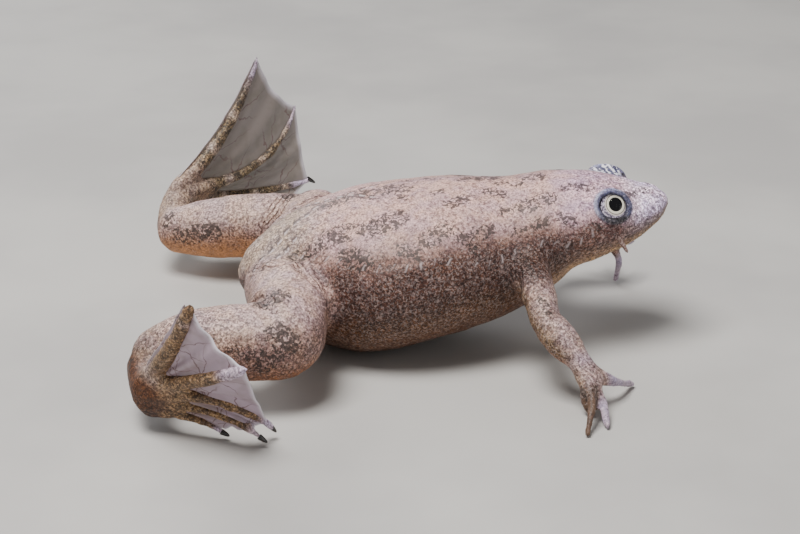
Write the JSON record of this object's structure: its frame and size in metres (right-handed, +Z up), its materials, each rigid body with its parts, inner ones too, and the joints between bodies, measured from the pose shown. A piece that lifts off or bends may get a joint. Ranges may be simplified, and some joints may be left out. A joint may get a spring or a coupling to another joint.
{
  "type": "mullers clawed frog model",
  "caption": "Life-size still model of a Mueller's clawed frog at rest, head raised on its arms, hind legs folded out and webbed feet fanned.",
  "frame": {"origin": "middle of the model's outline on the floor that it rests on", "axes": "+X the way the head points, +Y the frog's left, along the spread of the hind legs, +Z up"},
  "size_m": [0.0815, 0.099, 0.0329],
  "materials": {
    "skin": "moist, speckled soft skin",
    "web": "thin moist membrane with darker toes",
    "eye": "clear, wet and glossy",
    "claw": "polished black horn"
  },
  "bodies": {
    "root": {"head": "skin", "torso": "skin", "thigh_right": "skin", "thigh_left": "skin", "shank_right": "skin", "shank_left": "skin", "tarsus_right": "skin", "tarsus_left": "skin", "upper_arm_right": "skin", "upper_arm_left": "skin", "forearm_right": "skin", "forearm_left": "skin", "hand_right": "skin", "hand_left": "skin", "foot_right": "web", "foot_left": "web", "tentacle_right": "skin", "tentacle_left": "skin", "eye_right": "eye", "eye_left": "eye", "claw_first_right": "claw", "claw_second_right": "claw", "claw_third_right": "claw", "claw_first_left": "claw", "claw_second_left": "claw", "claw_third_left": "claw"}
  },
  "joints": []
}
